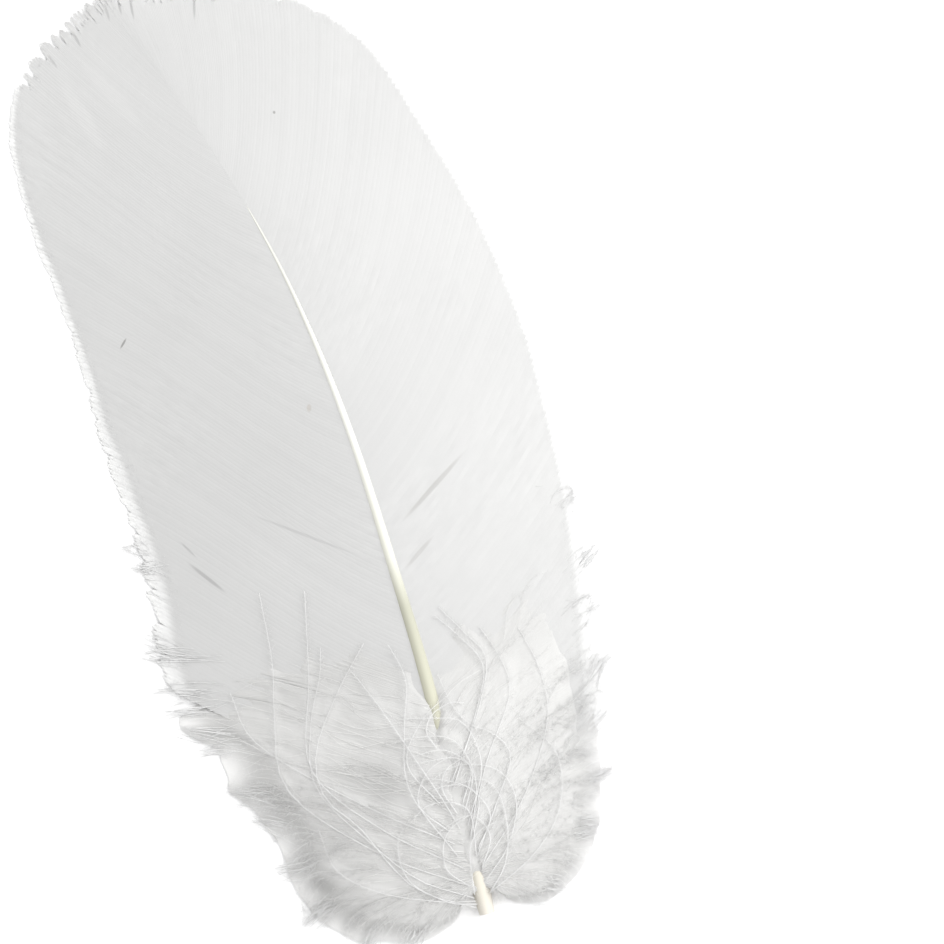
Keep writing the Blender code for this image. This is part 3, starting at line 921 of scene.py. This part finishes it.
def hornMaterial(name):
    finish = Finish(name)
    along, across, _, _ = finish.barbs()
    last = hornLook["colours"][-1][0]
    stops = finish.node("ValToRGB", {0: finish.maths("DIVIDE", along, float(last))})
    elements = stops.node.color_ramp.elements
    elements.remove(elements[0])
    for i, (at, colour) in enumerate(hornLook["colours"]):
        stop = elements[0] if i == 0 else elements.new(at / last)
        stop.position = at / last
        stop.color = (*colour, 1)
    length, often = hornLook["fibres"]
    fibres = finish.uneven(finish.stretched(along, length, across, often), 1.0, 3.0)
    # a painted highlight: a paler line along the crown, right of the middle where the light falls
    crownHighlight = hornLook["crownHighlight"]
    offMiddle = finish.maths("ABSOLUTE", finish.maths("ADD", across, crownHighlight["place"]))
    paler = finish.ramp(offMiddle, *crownHighlight["edge"], *crownHighlight["range"])
    shift = finish.maths("ADD", finish.maths("MULTIPLY", fibres, hornLook["fibre"]), paler)
    colour = finish.scaled(stops, finish.maths("ADD", shift, 1.0))
    bump = finish.bump(fibres, *hornLook["bump"])
    return finish.done(finish.surface(colour, hornLook["roughness"], Normal=bump))


# The shaft shows as a low ridge between the vanes.
shaft = {
    "sides": 20, "rings": 120, "end": 0.93,
    "squash": ((0, 1.0), (20, 1.0), (40, 0.82)),  # how much lower its upper side gets once the vanes begin
    "sink": 0.25, "sinking": (111, 124),  # towards its end it sinks in among the barbs' roots
}


def makeShaft(name):
    piece, local = copies(name, prism(shaft["sides"], shaft["rings"]), 1)
    along = local[:, 0] * shaft["end"] * fullLength
    radius = shaftRadius(along)
    squash = fromTable(shaft["squash"], along)
    x, y = planPoint(along, -local[:, 1] * radius)
    z = shaftHeight(along) + local[:, 2] * radius * np.where(local[:, 2] > 0, squash, 1.0)
    z = z - shaft["sink"] * smoothStep(*shaft["sinking"], along)
    place = np.stack([along, local[:, 1], 0 * along], axis=-1)
    putPoints(piece, np.stack([x, y, z], axis=-1), place, sharp=50)
    return piece


web = featherMaterial("web")
body = featherMaterial("body")
fluff = featherMaterial("fluff")
wisp = featherMaterial("wisp")
horn = hornMaterial("horn")
totals = []


def settle(piece, finish, node):
    piece.data.materials.append(finish)
    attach(piece, "root")
    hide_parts(node)
    count = sum(len(p.vertices) - 2 for p in piece.data.polygons)
    totals.append(count)
    print(piece.name, "has", count, "triangles")


for name, side in (("left", -1), ("right", 1)):
    vane, paths, s, closed, reach = makeVane(name + "_vane_barbs", side)
    settle(vane, web, "vane_" + name)
    rng = np.random.default_rng(vanes["seed"] + 40 + side)
    look = vanes["hairs"]
    start = np.clip(closed / reach - 0.03, 0, 0.99)
    counts = np.maximum((reach * (1 - start) * look["every"]).astype(int), 4)
    # the margin's hairs use evenly spaced copies of the barbs' paths
    even = np.array([[np.interp(np.linspace(0, r, look["rings"]), s[i], paths[i][:, k]) for k in range(3)]
                     for i, r in enumerate(reach)]).transpose(0, 2, 1)
    settle(makeHairs(name + "_margin_hairs", even, counts, look["size"], rng, False, rng.random(len(even)),
                     start=start, width=look["width"], fade=0.5), web, "vane_" + name)
settle(makeShaft("quill_and_rachis"), horn, "shaft")
print("shaft and vanes made")

ringShare = np.linspace(0, 1, down["rings"] + 1)

# The down's soft body on each side, in mm.
soft = {
    "rows": 220,
    "rings": 80,
    "teeth": 0.015,  # how uneven its edge is, as a share of its width
    "teethAlong": 40,
    "meet": (-0.4, 0.5, 0.75),  # the winding line over the shaft where both sides meet
    "dip": (0.3, 1.1),  # how far it dips there, and how much more where the shaft comes out from under it
    "dipping": (21, 33),
    "dipWidth": (0.04, 0.08),
    "dive": (40, 50),  # where it slips under the vane
    "diveUneven": 3.5,
    "underWeb": 0.35,
    "edge": (0.09, 0.75, 0.76),  # the height its edge comes down to, how nearly, and from what share on
    "bottom": 0.06,
    # its ridges are painted paler, as plumes lying on top in the light, and so is its thin edge, for light
    # coming through
    "pale": (0.45, 0.8),  # looseness along its ridges, and the share of its width from which its edge pales
    "ridge": ((0, 0.3), (0.2, 1), (0.8, 1), (1, 0)),  # height along a ridge
    "ridgeSteps": 90,
    "strayRidge": (0.28, 1.1),  # height, and width compared with the table above
    "ridgeHeight": (0.08, 0.26),
    "ridgeWidth": (0.8, 2.0),
}


def ridges(points, paths, heights, widths):
    # soft ridges along the paths: how much higher the surface is at each point, in mm
    risen = np.zeros(len(points))
    for path, height, width in zip(paths, heights, widths):
        steps = np.linspace(0, 1, soft["ridgeSteps"])
        fine = np.array([np.interp(steps, ringShare, path[:, k]) for k in (0, 1)]).T
        away = np.hypot(points[:, :1] - fine[:, 0], points[:, 1:2] - fine[:, 1])
        share = away.argmin(axis=1) / (len(steps) - 1)
        profile = np.exp(-(away.min(axis=1) / width) ** 2) * fromTable(soft["ridge"], share)
        risen = np.maximum(risen, height * profile)
    return risen


def makeBody(name, side, crests, heights, widths, bands):
    # one soft closed body, thin and painted pale at its edge for the light through it, that slips under the
    # vane's barbs
    rows, rings = soft["rows"], soft["rings"]
    shares = np.linspace(0.0, 1.0, rows + 1)
    rng = np.random.default_rng(down["seed"] + 5 * side)
    strand = rng.uniform(-1, 1, rows + 1)
    teeth = soft["teethAlong"]
    broad = np.interp(shares, np.linspace(0, 1, teeth), rng.uniform(-1, 1, teeth))
    reach = fromTable(down[side]["solid"], shares) + soft["teeth"] * broad
    past, swing, often = soft["meet"]
    inset = past - swing * (1 + side * np.sin(fromTable(down["roots"], shares) * often))
    paths = downPaths(rng, side, shares, reach, 0.0, np.zeros(rows + 1), inset)
    bm = bmesh.new()
    bmesh.ops.create_grid(bm, x_segments=rings, y_segments=rows, size=0.5)
    for vert in bm.verts:
        vert.co.z = 1.0
    below = bmesh.ops.extrude_face_region(bm, geom=bm.faces[:])["geom"]
    for vert in below:
        if isinstance(vert, bmesh.types.BMVert):
            vert.co.z = 0.0
    piece, local = copies(name, bm, 1)
    t = local[:, 0] + 0.5
    at = t * down["rings"]
    row = np.rint((local[:, 1] + 0.5) * rows).astype(int)
    low = np.minimum(at.astype(int), down["rings"] - 1)
    part = (at - low)[:, None]
    points = paths[row, low] * (1 - part) + paths[row, low + 1] * part
    x, y = points[:, 0], points[:, 1]
    height = moundHeight(x, y) + ridges(points, crests, heights, widths) * (1 - t ** 6)
    least, more = soft["dip"]
    near, far = soft["dipWidth"]
    dip = least + more * smoothStep(*soft["dipping"], y)
    height = height - dip * (1 - smoothStep(0, np.where(y > soft["dipping"][0], far, near), t))
    strand = np.convolve(strand, (0.25, 0.5, 0.25), "same")
    dive = smoothStep(*soft["dive"], y + soft["diveUneven"] * strand[row])
    under = webHeight(y, x - onShaft(shaftLine[:, 0], y)) - soft["underWeb"]
    height = height + (under - height) * np.clip(dive, 0, 1)
    thin, nearly, begin = soft["edge"]
    height = thin + (height - thin) * (1 - nearly * smoothStep(begin, 1.0, t))
    points[:, 2] = np.where(local[:, 2] > 0.5, height, soft["bottom"])
    gone = travelled(paths)
    along = gone[row, low] * (1 - part[:, 0]) + gone[row, low + 1] * part[:, 0]
    # painted light: paler along the strays' ridges, and towards the thin edge
    band = np.clip(ridges(points, crests[:bands], np.full(bands, 1.0), widths[:bands] * 0.8), 0, 1)
    onRidge, paleFrom = soft["pale"]
    loose = onRidge * band + (1 - onRidge * band) * smoothStep(paleFrom, 1.0, t)
    putPoints(piece, points, np.stack([along, 0 * along, shares[row]], axis=-1), loose, sharp=60)
    whole = bmesh.new()
    whole.from_mesh(piece.data)
    bmesh.ops.recalc_face_normals(whole, faces=whole.faces[:])
    whole.to_mesh(piece.data)
    whole.free()
    return piece


def jittered(rng, count):
    return np.clip((np.arange(count) + rng.uniform(-0.5, 1.5, count)) / (count + 1), 0, 1)


def rod(table, paths):
    # half thickness along each path
    return fromTable(table, ringShare) * np.ones((len(paths), 1))


def makeDown(name, side):
    rng = np.random.default_rng(down["seed"] + side)
    node = "down_" + name
    layers = []
    for part in ("outer", "inner"):
        look = down[part]
        shares = jittered(rng, look["count"]) * look["upTo"]
        reach = rng.uniform(*look["reach"], len(shares))
        over = rng.uniform(*look["over"], len(shares))
        layers.append(downPaths(rng, side, shares, reach, look["wild"], over))
    outer, inner = layers
    own = straySides == side
    crests = np.concatenate([strayLines[own], inner, outer[::2]])
    others = len(crests) - own.sum()
    high, wide = soft["strayRidge"]
    heights = np.concatenate([np.full(own.sum(), high), rng.uniform(*soft["ridgeHeight"], others)])
    widths = np.concatenate([strayBreadth[own] * wide, rng.uniform(*soft["ridgeWidth"], others)])
    settle(makeBody(name + "_down_body", side, crests, heights, widths, own.sum()), body, node)
    # ribs and fine barbules over it, thickest near the outline
    paths = np.concatenate(layers)
    half = rod(down["ribRadius"], paths)
    settle(sweep(name + "_down_ribs", paths, half, half, rng.random(len(paths)), 4, travelled(paths)),
           fluff, node)
    for part, chosen, finish in (("outer", outer, wisp), ("inner", inner, fluff)):
        look = down[part]
        first, last, most = down["thinner"]
        thinner = 1 - most * smoothStep(first, last, chosen[:, -1, 1])
        counts = (pathLengths(chosen) * look["hairs"] * thinner * (1 - look["start"])).astype(int)
        tones = rng.random(len(chosen))
        settle(makeHairs(f"{name}_down_{part}_hairs", chosen, counts, down["hairSize"], rng, True, tones,
                         start=look["start"], crowd=look["crowd"], flat=0.35, width=0.55, end=0.97),
               finish, node)

    tufts = wispPaths(rng, side)
    half = rod(wisps["radius"], tufts)
    tones = rng.random(len(tufts))
    settle(sweep(name + "_wisps", tufts, half, half * 0.6, tones, 4, travelled(tufts)), wisp, node)
    counts = (pathLengths(tufts) * wisps["hairs"]).astype(int)
    settle(makeHairs(name + "_wisp_hairs", tufts, counts, wisps["hairSize"], rng, True, tones, start=0.3,
                     width=0.5), wisp, node)


rng = np.random.default_rng(down["seed"] + 9)
allStrays = (*strays, *crossingStrays(rng))
strayLines = strayPaths(rng, allStrays)
strayTones = rng.uniform(0.6, 1.0, len(strayLines))
straySides = np.array([-1 if points[1][0] < 0.6 else 1 for points, _, _ in allStrays])
strayBreadth = np.array([broad for _, _, broad in allStrays])
for name, side in (("left", -1), ("right", 1)):
    makeDown(name, side)
    own = straySides == side
    chosen, tones = strayLines[own], strayTones[own]
    half = rod(down["strayRadius"], chosen)
    settle(sweep(name + "_stray_ribs", chosen, half, half * 0.6, tones, 5, travelled(chosen)),
           wisp, "down_" + name)
    look = down["strayHairs"]
    counts = (pathLengths(chosen) * look["every"]).astype(int)
    settle(makeHairs(name + "_stray_hairs", chosen, counts, look["size"], rng, True, tones, width=0.5),
           fluff, "down_" + name)
print("down made,", sum(totals), "triangles in all")

# The stage: centre and width of the view in plan mm, light in metres and watts, angles in degrees.
stage = {
    "centre": (20.2, 64.7),
    "width": 144.3,
    "roll": -19.3,
    "lens": 150.0,
    "eyeHeight": 4.0,  # of the plane in which the width is measured
    "ambient": 1.1,
    "floor": {"size": 3.0, "sunk": 0.05, "scale": 6.0, "edge": (0.3, 0.7), "tones": (0.945, 0.955)},
    "key": {"heading": 15, "elevation": 40, "distance": 0.9, "size": 0.8, "power": 9.0},
}


def makeFloor():
    look = stage["floor"]
    mesh = bpy.data.meshes.new("floor")
    bm = bmesh.new()
    bmesh.ops.create_grid(bm, x_segments=1, y_segments=1, size=look["size"])
    bmesh.ops.translate(bm, verts=bm.verts, vec=(0, 0, -look["sunk"] * mm))
    bm.to_mesh(mesh)
    bm.free()
    floor = bpy.data.objects.new("floor", mesh)
    bpy.context.scene.collection.objects.link(floor)
    finish = Finish("pale_floor")
    where = finish.node("TexCoord", {}, "Object")
    tone = finish.ramp(finish.noise(where, look["scale"]), *look["edge"], *look["tones"])
    mesh.materials.append(finish.done(finish.surface(finish.combine(tone, tone, tone), 0.9)))


def makeLights():
    world = bpy.data.worlds.new("studio")
    bpy.context.scene.world = world
    world.use_nodes = True
    sky = world.node_tree.nodes["Background"]
    sky.inputs["Color"].default_value = (1, 1, 1, 1)
    sky.inputs["Strength"].default_value = stage["ambient"]
    key = stage["key"]
    light = bpy.data.lights.new("key", "AREA")
    light.shape = "SQUARE"
    light.size = key["size"]
    light.energy = key["power"]
    lamp = bpy.data.objects.new("key", light)
    bpy.context.scene.collection.objects.link(lamp)
    h, e = math.radians(key["heading"]), math.radians(key["elevation"])
    away = Vector((math.cos(h) * math.cos(e), math.sin(h) * math.cos(e), math.sin(e)))
    lamp.location = away * key["distance"]
    lamp.rotation_euler = away.to_track_quat("Z", "Y").to_euler()


def makeCamera():
    camera = bpy.data.cameras.new("camera")
    camera.sensor_width = 36.0
    camera.lens = stage["lens"]
    eye = bpy.data.objects.new("camera", camera)
    bpy.context.scene.collection.objects.link(eye)
    distance = stage["width"] * mm * camera.lens / camera.sensor_width
    x, y = stage["centre"]
    eye.location = (quillEnd.x + x * mm, quillEnd.y + y * mm, distance + stage["eyeHeight"] * mm)
    eye.rotation_euler = (0, 0, math.radians(stage["roll"]))
    bpy.context.scene.camera = eye


makeFloor()
makeLights()
makeCamera()
bpy.context.scene.view_settings.view_transform = "Standard"
